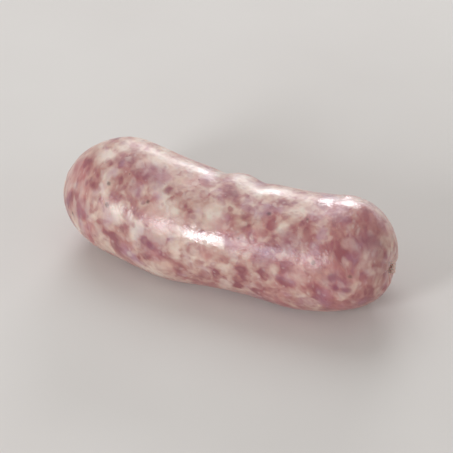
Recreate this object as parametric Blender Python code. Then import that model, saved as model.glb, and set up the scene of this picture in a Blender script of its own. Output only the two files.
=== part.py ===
# A raw, coarsely minced sausage link in a natural casing, lying on its side.
#
# The link is one closed solid. It starts as a straight turned body along X: the profile runs
# from the casing knot at one end, over the rounded end and the filled body, to the knot at the
# other end. The turned body is then swollen, pleated, sagged, bent sideways and set down on a
# small flat spot.
#
# Frame: metres, +Z up. +X runs along the link to its squarer end, and -Y is the outside of the
# bend. The origin is under the middle of the link's box, on the surface that it rests on.

import math

import bmesh
import bpy

MM = 0.001

# Driving dimensions of the filled body
LINK_LENGTH = 114.5 * MM  # between the two rounded ends, without their knots
GIRTH_RADII = [20.2 * MM, 19.3 * MM, 18.3 * MM, 18.3 * MM, 18.6 * MM, 20.5 * MM]  # evenly spaced, -X to +X
WIDTH_SHARE = 1.02  # the soft meat spreads a little sideways
HEIGHT_SHARE = 0.97  # and sinks a little
BEND = 5.3 * MM  # how far the middle stands out towards -Y
BEND_SKEW = 0.7 * MM
SINK = 0.9 * MM  # how deep the underside is pressed flat
FLAT_EDGE = 0.35 * MM  # half height over which the flat spot rounds off

# Rounded ends: how far each reaches along X, how square it is, and how far its tip droops
TAIL_END = {"reach": 22.0 * MM, "power": 1.78, "droop": 0.11}
NOSE_END = {"reach": 19.4 * MM, "power": 1.92, "droop": 0.13}

# Lumps and waists in the filling: place along the link from -1 to 1, angle round it in degrees
# from +Y over the top, height, and how far they reach along and round
SWELLINGS = [
    (0.03, 53, 1.2 * MM, 0.08, 40),
    (-0.09, 53, -0.8 * MM, 0.06, 40),
    (0.17, 53, -0.9 * MM, 0.05, 35),
    (-0.25, 228, 2.4 * MM, 0.24, 46),
    (0.45, 232, 1.3 * MM, 0.20, 45),
    (0.78, 240, -1.2 * MM, 0.14, 40),
    (-0.45, 335, 0.7 * MM, 0.16, 45),
    (0.40, 345, -0.6 * MM, 0.12, 45),
    (0.68, 20, 0.5 * MM, 0.12, 40),
]

# Casing knot at each end, and the pleats that run into it
DIMPLE_DEPTH = 1.7 * MM
DIMPLE_RADIUS = 3.4 * MM
KNOT_RADIUS = 1.5 * MM
KNOT_LENGTH = 2.3 * MM
# From its tip to its foot: share of the knot's length, share of its radius
KNOT_PROFILE = [(1.0, 0.0), (0.97, 0.5), (0.85, 0.85), (0.6, 1.0), (0.3, 0.9), (0.1, 1.05)]
KNOT_SPAN = (1.1, 2.0)  # in knot radii, where what is shaped as knot ends and the casing starts
KNOT_SQUEEZE = 0.28  # how oval the twist makes it
KNOT_LEAN = 0.7 * MM
FIRST_RING = 2.2  # in knot radii, the first ring of the rounded end
PLEAT_HEIGHT = 0.32 * MM
PLEAT_START = 2.0 * MM
PLEAT_END = 12.0 * MM
PLEAT_WAVES = [(5, 0.35, 0.4), (9, 0.6, 2.1), (12, 0.45, 4.0)]  # count round, share, phase

# Mesh density
SIDES = 48
END_RINGS = 17
BODY_RINGS = 40
WELD = 0.001 * MM

SKIN_COLOUR = (0.50, 0.31, 0.28, 1.0)
SKIN_ROUGHNESS = 0.32


def clear_scene():
    for thing in list(bpy.data.objects):
        bpy.data.objects.remove(thing, do_unlink=True)


def smooth_step(low, high, value):
    share = min(max((value - low) / (high - low), 0.0), 1.0)
    return share * share * (3.0 - 2.0 * share)


def through(values, share):
    # A smooth curve through evenly spaced values, read at a share of its length
    last = len(values) - 1
    place = min(max(share, 0.0), 1.0) * last
    index = min(int(place), last - 1)
    part = place - index
    here = values[index]
    after = values[index + 1]
    before = values[index - 1] if index > 0 else 2.0 * here - after
    beyond = values[index + 2] if index + 2 <= last else 2.0 * after - here
    straight = after - before
    bend = 2.0 * before - 5.0 * here + 4.0 * after - beyond
    twist = 3.0 * here - before - 3.0 * after + beyond
    return here + 0.5 * part * (straight + part * (bend + part * twist))


def girth(x):
    return through(GIRTH_RADII, x / LINK_LENGTH + 0.5)


def end_at(x):
    return TAIL_END if x < 0 else NOSE_END


def end_share(x, radius):
    # 1 along the body, falling to 0 at the middle of a rounded end
    if abs(x) < LINK_LENGTH / 2 - end_at(x)["reach"]:
        return 1.0
    return min(radius / girth(x), 1.0)


def end_profile(side):
    # Points (x, radius) of one end, from the tip of its knot to where the body starts
    tip = side * LINK_LENGTH / 2
    floor = tip - side * DIMPLE_DEPTH
    points = [(floor + side * KNOT_LENGTH * up, KNOT_RADIUS * out) for up, out in KNOT_PROFILE]
    end = end_at(side)
    first = FIRST_RING * KNOT_RADIUS / girth(tip)
    for ring in range(END_RINGS):
        # The rings are evenly spaced by angle from the edge of the knot to the body
        angle = math.asin(first) + (math.pi / 2 - math.asin(first)) * ring / END_RINGS
        back = end["reach"] * (1.0 - math.cos(angle) ** (2.0 / end["power"]))
        x = tip - side * back
        radius = girth(x) * math.sin(angle) ** (2.0 / end["power"])
        dent = DIMPLE_DEPTH * math.exp(-((radius / DIMPLE_RADIUS) ** 2))
        points.append((x - side * dent, radius))
    return points


def link_profile():
    tail = end_profile(-1)
    nose = end_profile(1)
    start = TAIL_END["reach"] - LINK_LENGTH / 2
    stop = LINK_LENGTH / 2 - NOSE_END["reach"]
    body = []
    for ring in range(BODY_RINGS + 1):
        x = start + (stop - start) * ring / BODY_RINGS
        body.append((x, girth(x)))
    return tail + body + nose[::-1]


def turned(profile):
    body = bmesh.new()
    rail = [body.verts.new((x, radius, 0.0)) for x, radius in profile]
    edges = [body.edges.new(pair) for pair in zip(rail, rail[1:])]
    bmesh.ops.spin(
        body,
        geom=rail + edges,
        cent=(0.0, 0.0, 0.0),
        axis=(1.0, 0.0, 0.0),
        angle=2.0 * math.pi,
        steps=SIDES,
    )
    bmesh.ops.remove_doubles(body, verts=body.verts, dist=WELD)
    return body


def swelling(x, angle):
    height = 0.0
    for place, turn, rise, along, around in SWELLINGS:
        apart = (angle - math.radians(turn) + math.pi) % (2.0 * math.pi) - math.pi
        fade = (x / (LINK_LENGTH / 2) - place) / along
        height += rise * math.exp(-(fade**2) - (apart / math.radians(around)) ** 2)
    return height


def pleat(radius, angle, side):
    rise = sum(share * math.cos(count * angle + side * phase) for count, share, phase in PLEAT_WAVES)
    inner = smooth_step(PLEAT_START, 2.0 * PLEAT_START, radius)
    outer = 1.0 - smooth_step(PLEAT_END / 2, PLEAT_END, radius)
    return PLEAT_HEIGHT * inner * outer * rise


def bend_offset(share):
    return -BEND * (1.0 - share**2) + BEND_SKEW * share * (1.0 - share**2)


def bend_slope(share):
    return (2.0 * BEND * share + BEND_SKEW * (1.0 - 3.0 * share**2)) / (LINK_LENGTH / 2)


def shaped(point):
    x, y, z = point
    side = -1.0 if x < 0 else 1.0
    radius = math.hypot(y, z)
    angle = math.atan2(z, y)
    share = end_share(x, radius)
    full = girth(x)
    on_knot = 1.0 - smooth_step(KNOT_RADIUS * KNOT_SPAN[0], KNOT_RADIUS * KNOT_SPAN[1], radius)

    # Lumps, pleats and the squeezed, twisted knot
    beyond = (abs(x) - LINK_LENGTH / 2 + DIMPLE_DEPTH) / KNOT_LENGTH
    squeeze = KNOT_SQUEEZE * on_knot * math.cos(2.0 * angle + side * math.pi * beyond)
    out = (radius + swelling(x, angle) * share) * (1.0 + squeeze)
    x += side * pleat(radius, angle, side)

    # The section sags, and the end's tip droops with its knot
    across = out * math.cos(angle) * WIDTH_SHARE
    up = out * math.sin(angle) * HEIGHT_SHARE
    droop = end_at(side)["droop"] * full * (1.0 - share)
    lean = KNOT_LEAN * on_knot * max(beyond, 0.0) ** 2
    middle = full * HEIGHT_SHARE - SINK - droop - lean

    # Bent sideways along a smooth curve
    place = x / (LINK_LENGTH / 2)
    slope = bend_slope(place)
    run = math.hypot(1.0, slope)
    bent_x = x - across * slope / run
    bent_y = bend_offset(place) + across / run

    # Pressed flat where it rests
    height = middle + up
    if height < -FLAT_EDGE:
        height = 0.0
    elif height < FLAT_EDGE:
        height = (height + FLAT_EDGE) ** 2 / (4.0 * FLAT_EDGE)
    return bent_x, bent_y, height


def centre_on_origin(body):
    xs = [vert.co.x for vert in body.verts]
    ys = [vert.co.y for vert in body.verts]
    shift = (-(min(xs) + max(xs)) / 2, -(min(ys) + max(ys)) / 2, 0.0)
    bmesh.ops.translate(body, vec=shift, verts=body.verts)


def skin_material():
    material = bpy.data.materials.new("raw_sausage")
    material.use_nodes = True
    shader = material.node_tree.nodes["Principled BSDF"]
    shader.inputs["Base Color"].default_value = SKIN_COLOUR
    shader.inputs["Roughness"].default_value = SKIN_ROUGHNESS
    shader.inputs["Metallic"].default_value = 0.0
    material.diffuse_color = SKIN_COLOUR
    return material


def make_sausage():
    body = turned(link_profile())
    for vert in body.verts:
        vert.co = shaped(vert.co)
    centre_on_origin(body)
    bmesh.ops.recalc_face_normals(body, faces=body.faces)
    mesh = bpy.data.meshes.new("sausage")
    body.to_mesh(mesh)
    body.free()
    mesh.shade_smooth()
    mesh.materials.append(skin_material())
    sausage = bpy.data.objects.new("sausage", mesh)
    bpy.context.scene.collection.objects.link(sausage)
    return sausage


clear_scene()
make_sausage()
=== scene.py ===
# A raw sausage link in its natural casing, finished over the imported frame.
import math
import random

import bpy
import numpy as np
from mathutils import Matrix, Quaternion, Vector, noise
from mathutils.bvhtree import BVHTree


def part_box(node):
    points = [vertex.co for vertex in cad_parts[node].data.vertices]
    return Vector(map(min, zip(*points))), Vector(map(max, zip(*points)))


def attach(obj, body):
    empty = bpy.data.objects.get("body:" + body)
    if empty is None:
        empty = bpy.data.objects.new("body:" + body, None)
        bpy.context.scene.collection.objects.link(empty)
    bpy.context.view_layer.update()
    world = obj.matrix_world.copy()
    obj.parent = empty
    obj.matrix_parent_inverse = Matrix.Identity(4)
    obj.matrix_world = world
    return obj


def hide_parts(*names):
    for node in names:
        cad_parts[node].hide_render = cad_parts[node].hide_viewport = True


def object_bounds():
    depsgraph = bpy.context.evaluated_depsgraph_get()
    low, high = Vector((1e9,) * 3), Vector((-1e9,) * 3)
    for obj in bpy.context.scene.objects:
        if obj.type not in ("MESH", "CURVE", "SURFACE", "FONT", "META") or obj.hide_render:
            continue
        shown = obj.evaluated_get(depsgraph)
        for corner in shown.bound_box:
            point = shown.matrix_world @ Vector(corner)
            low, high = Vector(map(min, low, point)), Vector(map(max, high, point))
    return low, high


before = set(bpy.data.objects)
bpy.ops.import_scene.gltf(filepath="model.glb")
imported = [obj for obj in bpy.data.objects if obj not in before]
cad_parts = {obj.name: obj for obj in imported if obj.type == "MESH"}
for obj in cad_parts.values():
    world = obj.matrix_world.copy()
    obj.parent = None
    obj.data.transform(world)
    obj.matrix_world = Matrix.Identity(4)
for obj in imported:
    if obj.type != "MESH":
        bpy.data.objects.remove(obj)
cadLow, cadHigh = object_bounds()
mm = 0.001


def linearColour(hexCode):
    # sRGB hex to the linear values that shaders want
    levels = [int(hexCode[place : place + 2], 16) / 255 for place in (1, 3, 5)]
    linear = [v / 12.92 if v <= 0.04045 else ((v + 0.055) / 1.055) ** 2.4 for v in levels]
    return (*linear, 1.0)


def addNode(tree, kind, settings, inputs):
    # Adds a shader node. An input is named, or numbered from 0, and takes a value or another
    # node's output.
    node = tree.nodes.new("ShaderNode" + kind)
    for name, value in settings.items():
        setattr(node, name, value)
    for name, value in inputs.items():
        if isinstance(name, int):
            socket = node.inputs[name]
        else:
            socket = next(s for s in node.inputs if s.name == name and s.enabled)
        if isinstance(value, bpy.types.NodeSocket):
            tree.links.new(value, socket)
        else:
            socket.default_value = value
    return node


def rampStops(node, stops):
    elements = node.color_ramp.elements
    elements.remove(elements[-1])
    for index, (place, hexCode) in enumerate(stops):
        element = elements[0] if index == 0 else elements.new(place)
        element.position = place
        element.color = linearColour(hexCode)


# ---- shape of the casing, filled with coarse mince

casing = {
    "sides": 224,  # points round it
    "bodyRings": 228,
    "endRings": 64,
    "stubRings": 20,
    "endReach": 20.0,  # mm from each tip to the middle of its rounded end
    "facetBlur": 1.7,  # mm, evens out the frame's facets
    "radius": 19.0,  # mm, for turning degrees round it into mm
    "lumps": [(21.0, 0.25), (8.5, 0.15), (3.6, 0.08), (1.8, 0.035)],  # spacing and height in mm
    "nib": (38.0, 62.0, 1.0, 0.5),  # x in mm, degrees round, radius and height in mm
    "seed": 41,
}

knots = {
    "clear": 5.0,  # mm from the knot inside which the frame's own knot is smoothed away
    "dimpleRadius": 4.2,
    "dimpleDepth": 2.45,
    "pleats": 13,
    "pleatDepth": 1.05,
    "pleatReach": 14.0,
    "twist": 0.035,  # radians for each mm out from the knot
    "gatherReach": 8.0,  # mm, over which the bunched casing looks paler
    "stubRadius": 1.75,
    "stubLength": 2.0,
    "tailPull": 0.6,  # how far the mince is drawn out round each end, 1 is not at all
    "nosePull": 0.8,
}

# Creases that run round the tail: x at both ends in mm, from and to in degrees, depth in mm
creases = [(-42.6, -39.0, 150, 206, 0.26), (-46.2, -43.0, 128, 186, 0.12), (-50.0, -47.6, 95, 160, 0.1)]

# Places that stand out: x in mm, degrees round it from the back over the top, reach in mm
marks = {
    "lean": [
        (-29, 113, 5.0), (-37, 112, 3.0), (-43, 124, 3.0), (-6, 135, 3.6), (4, 102, 4.6), (13, 124, 3.0),
        (-1, 168, 3.4), (-5, 200, 5.0), (30, 120, 4.0), (50, 84, 5.0), (14, 184, 5.0), (56, 150, 6.0),
        (27, 150, 6.0), (21, 161, 4.0), (52, 120, 4.5), (45, 145, 3.4), (-17, 176, 4.0), (5, 170, 3.0),
        (-42, 172, 3.2),
    ],
    "fat": [
        (-28, 122, 1.5), (-22, 166, 2.8), (-14, 142, 5.5), (-15, 72, 5.0), (47, 128, 2.6), (54, 149, 2.0),
        (33, 170, 4.0), (-46, 145, 2.4), (8, 80, 6.0), (25, 130, 3.0), (-24, 90, 3.6), (-41, 104, 3.0),
        (28, 96, 4.6), (-31, 160, 3.4), (3, 138, 4.0), (0, 60, 6.0), (38, 66, 5.0),
    ],
    "cool": [(45, 170, 4.5), (29, 143, 5.0), (21, 161, 4.0), (51, 118, 5.0), (-17, 174, 5.0), (-43, 165, 4.0), (-22, 104, 5.0)],
    "spot": [(-16, 120, 1.5), (24, 94, 1.1), (44, 164, 1.7), (45.5, 175, 1.3), (48.5, 177, 1.4), (-17, 178, 1.6)],
    "pepper": [
        (-35, 133, 0.7), (-34, 152, 0.8), (-21, 137, 0.6), (19, 115, 0.8), (37, 153, 0.8), (49, 159, 0.7),
        (31, 112, 0.5), (-8, 96, 0.4), (12, 148, 0.4),
    ],
    "moist": [(41, 74, 12.0), (-8, 70, 4.0), (14, 82, 3.4), (0, 149, 8.0)],
    "dry": [(24, 80, 6.0), (-30, 88, 14.0), (2, 75, 5.0), (26, 152, 16.0)],
}


def smoothStep(low, high, value):
    share = np.clip((value - low) / (high - low), 0.0, 1.0)
    return share * share * (3.0 - 2.0 * share)


def noiseAt(points, size, shift):
    # Perlin noise over points in mm, its bumps about one size apart
    moved = points.reshape(-1, 3) / size + np.array(shift)
    values = [noise.noise(Vector(point)) for point in moved]
    return np.array(values).reshape(points.shape[:-1])


def soften(field, along, around):
    # Gaussian blur over the grid, closed round each ring
    for axis, spread in enumerate((along, around)):
        reach = int(3 * spread) + 1
        offsets = np.arange(-reach, reach + 1)
        weights = np.exp(-0.5 * (offsets / spread) ** 2)
        weights /= weights.sum()
        padded = np.pad(field, ((reach, reach), (0, 0)), mode="edge")
        count = field.shape[0]
        if axis == 0:
            field = sum(w * padded[reach + o : reach + o + count] for o, w in zip(offsets, weights))
        else:
            field = sum(w * np.roll(field, o, axis=1) for o, w in zip(offsets, weights))
    return field


def apart(turns, degrees):
    # How far round, in radians, from each turn to these degrees
    return (turns - np.radians(degrees) + math.pi) % (2 * math.pi) - math.pi


def middleLine(tree, low, high):
    # The line through the middle of the frame's solid, as curves y(x) and z(x)
    inside = 0.8 * casing["endReach"] * mm
    stations = np.linspace(low.x + inside, high.x - inside, 60)
    centres = []
    for x in stations:
        inner = Vector((x, (low.y + high.y) / 2, (low.z + high.z) / 2))
        ways = [Vector((0.0, math.cos(k * math.pi / 8), math.sin(k * math.pi / 8))) for k in range(16)]
        hits = [tree.ray_cast(inner, way)[0] for way in ways]
        centres.append(sum(hits, Vector()) / len(hits))
    return np.polyfit(stations, [c.y for c in centres], 4), np.polyfit(stations, [c.z for c in centres], 4)


def crossAt(line, x):
    # Centre, sideways and upward directions of a section square to the middle line
    ys, zs = line
    centre = Vector((x, np.polyval(ys, x), np.polyval(zs, x)))
    ahead = Vector((1.0, np.polyval(np.polyder(ys), x), np.polyval(np.polyder(zs), x))).normalized()
    out = Vector((-ahead.y, ahead.x, 0.0)).normalized()
    return centre, out, ahead.cross(out)


def castRings():
    # Rays from the middle line to the frame's solid: rings along the body, fans over the ends
    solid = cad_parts["sausage"]
    low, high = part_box("sausage")
    tree = BVHTree.FromObject(solid, bpy.context.evaluated_depsgraph_get())
    line = middleLine(tree, low, high)
    reach = casing["endReach"] * mm
    xs = np.linspace(low.x + reach, high.x - reach, casing["bodyRings"])
    corners = [v.co for v in solid.data.vertices]
    last = math.asin(knots["stubRadius"] * 1.25 / casing["endReach"])
    fan = np.linspace(math.pi / 2, last, casing["endRings"] + 1)[1:]
    sections = [(*crossAt(line, x), Vector(), math.pi / 2, 0) for x in xs]
    for side, x, tip in ((-1, xs[0], min(corners, key=lambda c: c.x)), (1, xs[-1], max(corners, key=lambda c: c.x))):
        centre, out, up = crossAt(line, x)
        pole = (tip - centre).normalized()
        end = [(centre, out, up, pole, angle, side) for angle in fan]
        sections = end[::-1] + sections if side < 0 else sections + end
    turns = np.arange(casing["sides"]) * 2 * math.pi / casing["sides"]
    origins = []
    ways = []
    reaches = []
    for centre, out, up, pole, angle, side in sections:
        flat = np.outer(np.cos(turns), out) + np.outer(np.sin(turns), up)
        way = math.sin(angle) * flat + math.cos(angle) * np.array(pole) * abs(side)
        way /= np.linalg.norm(way, axis=1)[:, None]
        origins.append(np.repeat([np.array(centre)], len(turns), axis=0))
        ways.append(way)
        reaches.append([tree.ray_cast(centre, Vector(w))[3] for w in way])
    tilt = np.array([section[4] for section in sections])
    side = np.array([section[5] for section in sections])
    poles = [sections[0][3], sections[-1][3]]
    print("casing: read", len(sections), "rings from the frame")
    return np.array(origins) / mm, np.array(ways), np.array(reaches) / mm, turns, tilt, side, poles


def closeEnds(reaches, tilt, side):
    # Smooths the frame's own knots away, ready for the pleated ones
    for end in (-1, 1):
        rows = np.where(side == end)[0]
        off = reaches[rows].mean(axis=1) * np.sin(tilt[rows])
        edge = rows[off > knots["clear"]][np.argmin(off[off > knots["clear"]])]
        level = reaches[edge].mean()
        for row, radius in zip(rows, off):
            if radius < knots["clear"]:
                reaches[row] = level + (reaches[edge] - level) * (radius / knots["clear"]) ** 2
    return reaches


def pleatsAt(radius, turns, end):
    # Depth in mm of the valleys that run out from a knot, with puffed casing between them
    dice = random.Random(casing["seed"] + end)
    count = knots["pleats"]
    starts = [2 * math.pi * (k + dice.uniform(-0.3, 0.3)) / count for k in range(count)]
    depths = [knots["pleatDepth"] * dice.uniform(0.35, 1.0) for k in range(count)]
    lengths = [knots["pleatReach"] * dice.uniform(0.5, 1.0) for k in range(count)]
    turned = (turns[None, :] - end * knots["twist"] * radius - starts[0]) % (2 * math.pi)
    edges = np.array([start - starts[0] for start in starts] + [2 * math.pi])
    between = np.clip(np.searchsorted(edges, turned, side="right") - 1, 0, count - 1)
    share = (turned - edges[between]) / (edges[between + 1] - edges[between])
    depth = np.interp(turned, edges, depths + depths[:1])
    length = np.interp(turned, edges, lengths + lengths[:1])
    valley = 1.0 - np.sqrt(np.sin(math.pi * share))
    return depth * valley * (1.0 - smoothStep(0.25 * length, length, radius))


def reliefAt(grid, reaches, turns, tilt, side):
    # What the casing stands out by, in mm: lumps of mince, creases, dimples and pleats
    relief = np.zeros(reaches.shape)
    onEnd = 0.35 + 0.65 * np.sin(tilt)[:, None] ** 2
    for order, (size, height) in enumerate(casing["lumps"]):
        relief += height * onEnd * noiseAt(grid, size, (3.1 * order + 0.37, 7.7 * order, 5.2))
    x, turn, radius, height = casing["nib"]
    off = np.hypot(grid[..., 0] - x, apart(turns, turn) * casing["radius"])
    relief += height * np.exp(-((off / radius) ** 2))
    for start, stop, first, last, depth in creases:
        middle = (first + last) / 2
        along = apart(turns, middle) / math.radians(last - first) + 0.5
        fade = smoothStep(-0.15, 0.15, along) * (1.0 - smoothStep(0.85, 1.15, along))
        line = start + (stop - start) * along
        relief -= depth * fade * np.exp(-(((grid[..., 0] - line) / 0.6) ** 2))

    radius = reaches * np.sin(tilt)[:, None]
    for end in (-1, 1):
        here = (side == end)[:, None]
        relief -= here * knots["dimpleDepth"] * np.exp(-((radius / knots["dimpleRadius"]) ** 2))
        relief -= here * pleatsAt(radius, turns, end)
    return relief


def straightened(grid, radius, turns, tilt, side):
    # Where each point lies in the mince, in mm, with the mince drawn out round the ends
    steps = np.linalg.norm(np.diff(grid[:, 0], axis=0), axis=1)
    arc = np.concatenate([[0.0], np.cumsum(steps)])
    arc -= arc[len(arc) // 2]
    share = grid[..., 0].mean(axis=1) / (0.5 * (cadHigh.x - cadLow.x) / mm)
    over = np.cos(tilt) * np.abs(side)
    tail = 0.5 * smoothStep(0.2, 0.65, -share) + 0.5 * smoothStep(0.0, 0.7, over * (side < 0))
    nose = 0.3 * smoothStep(0.45, 0.7, share) + 0.7 * smoothStep(0.0, 0.7, over * (side > 0))
    pull = 1.0 - (1.0 - knots["tailPull"]) * tail - (1.0 - knots["nosePull"]) * nose
    swirl = turns[None, :] + 0.5 * tail[:, None] - 0.3 * nose[:, None]
    off = radius * pull[:, None]
    along = np.repeat(arc[:, None], len(turns), axis=1)
    return np.stack([along, off * np.cos(swirl), off * np.sin(swirl)], axis=2)


def stubRings(rim, rimPlace, pole, turns, end):
    # A short twisted stub of gathered casing that closes one end
    floor = rim.mean(axis=0)
    pole = np.array(pole)
    circle = rim - floor
    circle /= np.linalg.norm(circle, axis=1)[:, None]
    start = np.linalg.norm(rim - floor, axis=1).mean()
    rings = []
    for ring in range(1, casing["stubRings"] + 1):
        climb = ring / casing["stubRings"]
        waist = 1.0 - 0.35 * math.sin(math.pi * min(climb / 0.6, 1.0)) + 0.12 * math.sin(2 * math.pi * climb)
        close = math.sqrt(1.0 - 0.96 * max((climb - 0.7) / 0.3, 0.0) ** 2)
        flat = 1.0 + 0.3 * climb * np.cos(2 * turns + end * 2.4 * climb)
        folds = 1.0 + 0.12 * math.sin(math.pi * climb) * np.cos(7 * turns + end * 3.0 * climb)
        radius = start * waist * close * flat * folds
        lean = np.array([0.0, 0.0, -0.6 * climb**2])
        rings.append(floor + circle * radius[:, None] + pole * knots["stubLength"] * climb + lean)
    shrink = np.linspace(1.0, 0.5, casing["stubRings"])[:, None, None]
    return np.array(rings), rimPlace[None] * shrink


def markField(grid, turns, kind):
    # 1 on each place of this kind, falling to 0 over an uneven edge
    field = np.zeros(grid.shape[:2])
    x = grid[..., 0] + 1.3 * noiseAt(grid, 3.2, (9.1, 0.0, 2.0)) + 1.6 * noiseAt(grid, 6.5, (4.1, 1.0, 8.0))
    around = 1.3 * noiseAt(grid, 3.2, (1.7, 6.0, 3.0)) + 1.6 * noiseAt(grid, 6.5, (2.3, 9.0, 1.0))
    ragged = 0.35 if kind in ("pepper", "spot") else 1.0
    x = grid[..., 0] + ragged * (x - grid[..., 0])
    for place, turn, reach in marks[kind]:
        away = np.hypot(x - place, apart(turns, turn) * casing["radius"] + ragged * around) / reach
        field = np.maximum(field, 1.0 - smoothStep(0.45, 1.3, away))
    return field


def buildCasing():
    origins, ways, reaches, turns, tilt, side, poles = castRings()
    reaches = closeEnds(reaches, tilt, side)
    ringStep = (cadHigh.x - cadLow.x) / mm / (casing["bodyRings"] + casing["endRings"])
    sideStep = 2 * math.pi * casing["radius"] / casing["sides"]
    reaches = soften(reaches, casing["facetBlur"] / ringStep, casing["facetBlur"] / sideStep)
    grid = origins + ways * reaches[..., None]
    reaches += reliefAt(grid, reaches, turns, tilt, side)
    grid = origins + ways * reaches[..., None]
    place = straightened(grid, reaches * np.sin(tilt)[:, None], turns, tilt, side)
    tail, tailPlace = stubRings(grid[0], place[0], poles[0], turns, -1)
    nose, nosePlace = stubRings(grid[-1], place[-1], poles[1], turns, 1)
    grid = np.concatenate([tail[::-1], grid, nose])
    place = np.concatenate([tailPlace[::-1], place, nosePlace])
    grid[..., 2] = np.maximum(grid[..., 2], 0.0)
    print("casing: lumps, creases and pleats done")
    spokes = np.stack([6 * np.cos(turns), 6 * np.sin(turns), 0 * turns], axis=1)
    stub = np.full((casing["stubRings"], len(turns)), 1.0)
    off = reaches * np.sin(tilt)[:, None]
    bunched = (1.0 - smoothStep(2.0, knots["gatherReach"], off)) * (side != 0)[:, None]
    bunched *= 0.65 + 0.8 * noiseAt(spokes, 1.3, (3.0, 3.0, 3.0))[None, :]
    fields = {"minced": place, "bunched": np.clip(np.concatenate([stub, bunched, stub]), 0.0, 1.0)}
    for kind in marks:
        fields[kind] = markField(grid, turns, kind)
    # painted shade: the mince is painted leaner, so darker, towards the nose end
    fields["lean"] += 0.55 * smoothStep(0.0, 28.0, grid[..., 0])
    low = 1.0 - smoothStep(2.0, 15.0, grid[..., 2])
    # painted shade: leaner, so darker, towards the underside, where low is 1 near the floor
    fields["lean"] += 0.35 * low
    # painted shade: a reddish darkening painted towards the nose end and towards the underside
    fields["flushed"] = np.clip(0.9 * smoothStep(15.0, 55.0, grid[..., 0]) + 0.7 * low, 0.0, 1.0)
    fields["moist"] = np.clip(
        0.15 + 0.9 * fields["moist"] - 0.8 * fields["dry"] + 0.5 * noiseAt(grid, 8.0, (5.0, 5.0, 5.0)), 0.0, 1.0
    )
    print("casing: marks placed")
    return grid, fields


def meshFromGrid(name, grid, fields):
    # Closed skin: quads between rings, a fan at each tip. Each field becomes an attribute.
    rings, sides = grid.shape[:2]
    tips = [grid[0].mean(axis=0), grid[-1].mean(axis=0)]
    corners = np.concatenate([grid.reshape(-1, 3), tips]) * mm
    first = np.arange(sides)
    after = np.roll(first, -1)
    faces = []
    for start in range(0, (rings - 1) * sides, sides):
        ends = (start + first, start + after, start + sides + after, start + sides + first)
        faces += np.stack(ends, axis=1).tolist()
    tailTip = rings * sides
    top = tailTip - sides
    faces += [[tailTip, int(j), int(i)] for i, j in zip(first, after)]
    faces += [[tailTip + 1, int(top + i), int(top + j)] for i, j in zip(first, after)]
    mesh = bpy.data.meshes.new(name)
    mesh.from_pydata(corners.tolist(), [], faces)
    mesh.shade_smooth()
    for label, field in fields.items():
        vector = field.ndim == 3
        layer = mesh.attributes.new(label, "FLOAT_VECTOR" if vector else "FLOAT", "POINT")
        values = np.concatenate([field.reshape(rings * sides, -1), [field[0].mean(0), field[-1].mean(0)]] if vector
                                else [field.reshape(-1, 1), [[field[0].mean()], [field[-1].mean()]]])
        layer.data.foreach_set("vector" if vector else "value", values.astype(np.float32).ravel())
    skin = bpy.data.objects.new(name, mesh)
    bpy.context.scene.collection.objects.link(skin)
    return skin


# ---- material

mince = {
    "leanness": 0.545,
    # From fat to lean: share of the way, colour
    "tones": [(0.16, "#E2D0C3"), (0.36, "#D2B6A9"), (0.52, "#C09990"), (0.67, "#B07B78"), (0.84, "#965A60")],
    "cool": "#A07284",
    # Broad changes of colour: spacing in mm, noise values from none to most, how much, colour
    "drifts": [
        (6.5, 0.54, 0.74, 0.4, "#DBC0AC"),
        (6.5, 0.46, 0.26, 0.5, "#B48FA8"),
        (11.0, 0.5, 0.7, 0.5, "#C47E80"),
    ],
    "bunched": "#E0C9C0",
    # painted shade: reddish colour mixed in towards the nose end and the underside
    "flushed": "#BF6A6A",
    "spot": "#88405A",
    "fat": "#E2D3CB",
    "pepper": "#4C352E",
    "bits": [
        {"every": 4.4, "share": 0.4, "radius": 1.7, "soft": 0.9, "colour": "#A0606A", "strength": 0.3},
        {"every": 3.9, "share": 0.4, "radius": 1.5, "soft": 0.8, "colour": "#E4D2C6", "strength": 0.35},
        {"every": 2.4, "share": 0.4, "radius": 0.9, "soft": 0.6, "colour": "#9A5866", "strength": 0.38},
        {"every": 2.0, "share": 0.45, "radius": 0.8, "soft": 0.7, "colour": "#DCCCC4", "strength": 0.34},
        {"every": 12.0, "share": 0.3, "radius": 1.3, "soft": 0.7, "colour": "#88405A", "strength": 0.5},
        {"every": 8.0, "share": 0.25, "radius": 0.45, "soft": 0.3, "colour": "#4C352E", "strength": 0.6},
    ],
}


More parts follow.
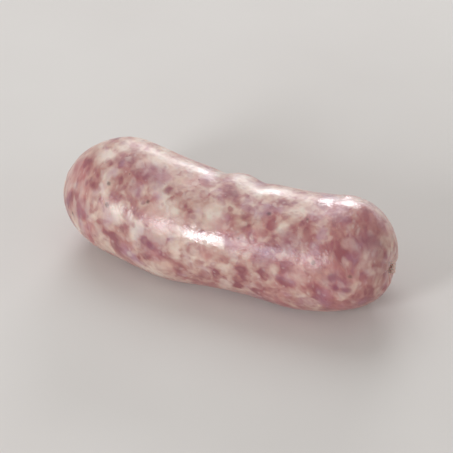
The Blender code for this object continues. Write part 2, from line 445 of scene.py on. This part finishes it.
def makeCasingMaterial():
    # Natural casing, wet, drawn tight over coarse mince: a glossy film that blurs the colours
    # of fat and lean lying just under it
    material = bpy.data.materials.new("natural casing over coarse mince")
    material.use_nodes = True
    tree = material.node_tree
    shader = tree.nodes["Principled BSDF"]
    place = addNode(tree, "Attribute", {"attribute_name": "minced"}, {}).outputs["Vector"]
    painted = {}
    for kind in (*marks, "bunched", "flushed"):
        painted[kind] = addNode(tree, "Attribute", {"attribute_name": kind}, {}).outputs["Fac"]

    # Ragged edges: places are pushed about before the pieces of mince are cut out
    ragged = place
    for sizeMm, pushMm in ((4.5, 1.2), (1.6, 0.4)):
        wave = addNode(tree, "TexNoise", {}, {"Scale": 1 / sizeMm, "Detail": 1.0, "Vector": ragged})
        centred = addNode(
            tree, "VectorMath", {"operation": "SUBTRACT"}, {0: wave.outputs["Color"], 1: (0.5, 0.5, 0.5)}
        )
        push = addNode(tree, "VectorMath", {"operation": "SCALE"}, {0: centred.outputs[0], "Scale": 2 * pushMm})
        ragged = addNode(tree, "VectorMath", {"operation": "ADD"}, {0: ragged, 1: push.outputs[0]}).outputs[0]

    # How lean the mince is: broad clouds, chunks, bits and crumbs
    clouds = addNode(tree, "TexNoise", {}, {"Scale": 1 / 10, "Detail": 2.0, "Vector": place})
    crumbs = addNode(tree, "TexNoise", {}, {"Scale": 1 / 1.1, "Detail": 2.0, "Vector": place})
    cut = {}
    for sizeMm in (5.5, 2.9, 1.5):
        cells = addNode(
            tree,
            "TexVoronoi",
            {"feature": "SMOOTH_F1"},
            {"Scale": 1 / sizeMm, "Smoothness": 0.75, "Vector": ragged},
        )
        cut[sizeMm] = addNode(tree, "SeparateColor", {}, {"Color": cells.outputs["Color"]}).outputs[0]
    layers = (
        (clouds.outputs["Fac"], 0.65),
        (cut[5.5], 0.4),
        (cut[2.9], 0.44),
        (cut[1.5], 0.22),
        (crumbs.outputs["Fac"], 0.14),
    )
    lean = mince["leanness"] - 0.5 * sum(gain for source, gain in layers)
    # the lean attribute holds the lean places and also painted shade towards the nose end and the underside
    for source, gain in (*layers, (painted["lean"], 0.17), (painted["fat"], -0.15)):
        lean = addNode(tree, "Math", {"operation": "MULTIPLY_ADD"}, {0: source, 1: gain, 2: lean}).outputs[0]
    tones = addNode(tree, "ValToRGB", {}, {"Fac": lean})
    rampStops(tones, mince["tones"])
    colour = tones.outputs["Color"]

    # Creamier, more lilac and rosier stretches
    coats = []
    for sizeMm, none, most, share, shade in mince["drifts"]:
        drift = addNode(tree, "TexNoise", {}, {"Scale": 1 / sizeMm, "Detail": 2.0, "Vector": ragged})
        much = addNode(
            tree,
            "MapRange",
            {},
            {"Value": drift.outputs["Fac"], "From Min": none, "From Max": most, "To Min": 0.0, "To Max": share},
        )
        coats.append((much.outputs[0], shade))

    # Separate pieces of lean and fat, blood spots and cracked pepper, soft under the casing
    for order, bit in enumerate(mince["bits"]):
        moved = addNode(tree, "VectorMath", {"operation": "ADD"}, {0: ragged, 1: (17.3 * order, 5.1 * order, 0.0)})
        cells = addNode(tree, "TexVoronoi", {}, {"Scale": 1 / bit["every"], "Vector": moved.outputs[0]})
        dice = addNode(tree, "SeparateColor", {}, {"Color": cells.outputs["Color"]})
        size = addNode(tree, "Math", {"operation": "MULTIPLY_ADD"}, {0: dice.outputs[1], 1: 0.8, 2: 0.6})
        away = addNode(tree, "Math", {"operation": "DIVIDE"}, {0: cells.outputs["Distance"], 1: size.outputs[0]})
        spot = addNode(
            tree,
            "MapRange",
            {"interpolation_type": "SMOOTHSTEP"},
            {
                "Value": away.outputs[0],
                "From Min": (bit["radius"] - bit["soft"]) / bit["every"],
                "From Max": bit["radius"] / bit["every"],
                "To Min": bit["strength"],
                "To Max": 0.0,
            },
        )
        chosen = addNode(tree, "Math", {"operation": "LESS_THAN"}, {0: dice.outputs[0], 1: bit["share"]})
        mask = addNode(tree, "Math", {"operation": "MULTIPLY"}, {0: spot.outputs[0], 1: chosen.outputs[0]})
        coats.append((mask.outputs[0], bit["colour"]))
    # the first of these mixes paints reddish shade towards the nose end and the underside
    for kind, strength in (("flushed", 0.18), ("cool", 0.35), ("fat", 0.2), ("spot", 0.6), ("pepper", 0.6), ("bunched", 0.72)):
        mask = addNode(tree, "Math", {"operation": "MULTIPLY"}, {0: painted[kind], 1: strength})
        coats.append((mask.outputs[0], mince[kind]))
    for mask, shade in coats:
        mixed = addNode(
            tree, "Mix", {"data_type": "RGBA"}, {"Factor": mask, "A": colour, "B": linearColour(shade)}
        )
        colour = next(s for s in mixed.outputs if s.enabled)

    # Soft crumbs press on the casing from inside
    bump = addNode(tree, "Bump", {}, {"Strength": 0.7, "Distance": 0.14 * mm, "Height": crumbs.outputs["Fac"]})

    tree.links.new(colour, shader.inputs["Base Color"])
    tree.links.new(bump.outputs[0], shader.inputs["Normal"])
    tree.links.new(bump.outputs[0], shader.inputs["Coat Normal"])
    tree.links.new(painted["moist"], shader.inputs["Coat Weight"])
    shader.inputs["Roughness"].default_value = 0.34
    shader.inputs["IOR"].default_value = 1.5
    shader.inputs["Coat Roughness"].default_value = 0.2
    shader.inputs["Coat IOR"].default_value = 1.5
    shader.inputs["Sheen Weight"].default_value = 0.12
    shader.inputs["Sheen Tint"].default_value = linearColour("#F3DDD0")
    shader.inputs["Sheen Roughness"].default_value = 0.35
    shader.inputs["Subsurface Weight"].default_value = 0.45
    shader.inputs["Subsurface Radius"].default_value = (1.0, 0.38, 0.26)
    shader.inputs["Subsurface Scale"].default_value = 1.8 * mm
    return material


# ---- the sausage

grid, fields = buildCasing()
skin = meshFromGrid("filledCasing", grid, fields)
skin.data.materials.append(makeCasingMaterial())
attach(skin, "root")
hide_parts("sausage")
print("casing: mesh with", len(skin.data.polygons), "faces")

# ---- studio

studio = {
    "board": ["#D8D5D1", "#DEDCD8"],
    "aim": (0.0, 0.0, 0.017),
    "cameraTurn": 26.1,  # degrees round from the front
    "cameraRise": 37.2,
    "cameraTilt": -0.9,
    "cameraAway": 0.891,
    "lens": 222,
    "room": "#F6F2ED",
    "lampColour": "#FBFBFF",
    "roomStrength": 0.42,
    # degrees round from the front, degrees up, distance, width, height, brightness
    "lights": {
        "overhead softbox": (220.0, 52.0, 1.2, 0.9, 0.9, 2.2),
        "back wall": (180.0, 8.0, 1.2, 2.0, 0.3, 1.3),
        "side wall": (80.0, 14.0, 1.2, 1.2, 0.5, 1.3),
        "back softbox": (197.0, 22.0, 0.8, 0.34, 0.16, 11.0),
        "front softbox": (342.0, 22.0, 0.8, 0.19, 0.28, 22.0),
    },
}


def wayFrom(turn, rise):
    # Unit vector towards a place seen at this turn round from the front (-Y) and this rise
    turn = math.radians(turn)
    rise = math.radians(rise)
    return Vector((math.sin(turn) * math.cos(rise), -math.cos(turn) * math.cos(rise), math.sin(rise)))


def makeFloor():
    # Painted studio board, rolled on: matt and a little uneven
    material = bpy.data.materials.new("painted studio board")
    material.use_nodes = True
    tree = material.node_tree
    shader = tree.nodes["Principled BSDF"]
    coordinates = addNode(tree, "TexCoord", {}, {})
    mottle = addNode(tree, "TexNoise", {}, {"Scale": 9.0, "Detail": 3.0, "Vector": coordinates.outputs["Object"]})
    ramp = addNode(tree, "ValToRGB", {}, {"Fac": mottle.outputs["Fac"]})
    rampStops(ramp, list(zip((0.3, 0.7), studio["board"])))
    tree.links.new(ramp.outputs["Color"], shader.inputs["Base Color"])
    shader.inputs["Roughness"].default_value = 0.85
    bpy.ops.mesh.primitive_plane_add(size=6.0, location=(0.0, 0.0, -0.0002))
    floor = bpy.context.object
    floor.name = "floor"
    floor.data.materials.append(material)


def makeLight(name, turn, rise, away, width, height, brightness):
    light = bpy.data.lights.new(name, "AREA")
    light.shape = "ELLIPSE"
    light.color = linearColour(studio["lampColour"])[:3]
    light.size = width
    light.size_y = height
    light.energy = brightness * math.pi**2 * width * height / 4  # the same brightness at any size
    lamp = bpy.data.objects.new(name, light)
    way = wayFrom(turn, rise)
    lamp.location = Vector(studio["aim"]) + way * away
    lamp.rotation_euler = way.to_track_quat("Z", "Y").to_euler()
    bpy.context.scene.collection.objects.link(lamp)


def makeWorld():
    world = bpy.data.worlds.new("soft room")
    bpy.context.scene.world = world
    world.use_nodes = True
    background = world.node_tree.nodes["Background"]
    background.inputs["Color"].default_value = linearColour(studio["room"])
    background.inputs["Strength"].default_value = studio["roomStrength"]


def makeCamera():
    back = wayFrom(studio["cameraTurn"], studio["cameraRise"])
    lens = bpy.data.cameras.new("camera")
    lens.lens = studio["lens"]
    camera = bpy.data.objects.new("camera", lens)
    camera.location = Vector(studio["aim"]) + back * studio["cameraAway"]
    camera.rotation_mode = "QUATERNION"
    tilt = Quaternion((0.0, 0.0, 1.0), math.radians(studio["cameraTilt"]))
    camera.rotation_quaternion = back.to_track_quat("Z", "Y") @ tilt
    bpy.context.scene.collection.objects.link(camera)
    bpy.context.scene.camera = camera


makeFloor()
makeWorld()
for name, settings in studio["lights"].items():
    makeLight(name, *settings)
makeCamera()
bpy.context.scene.view_settings.view_transform = "Standard"
print("studio: floor, lights and camera ready")
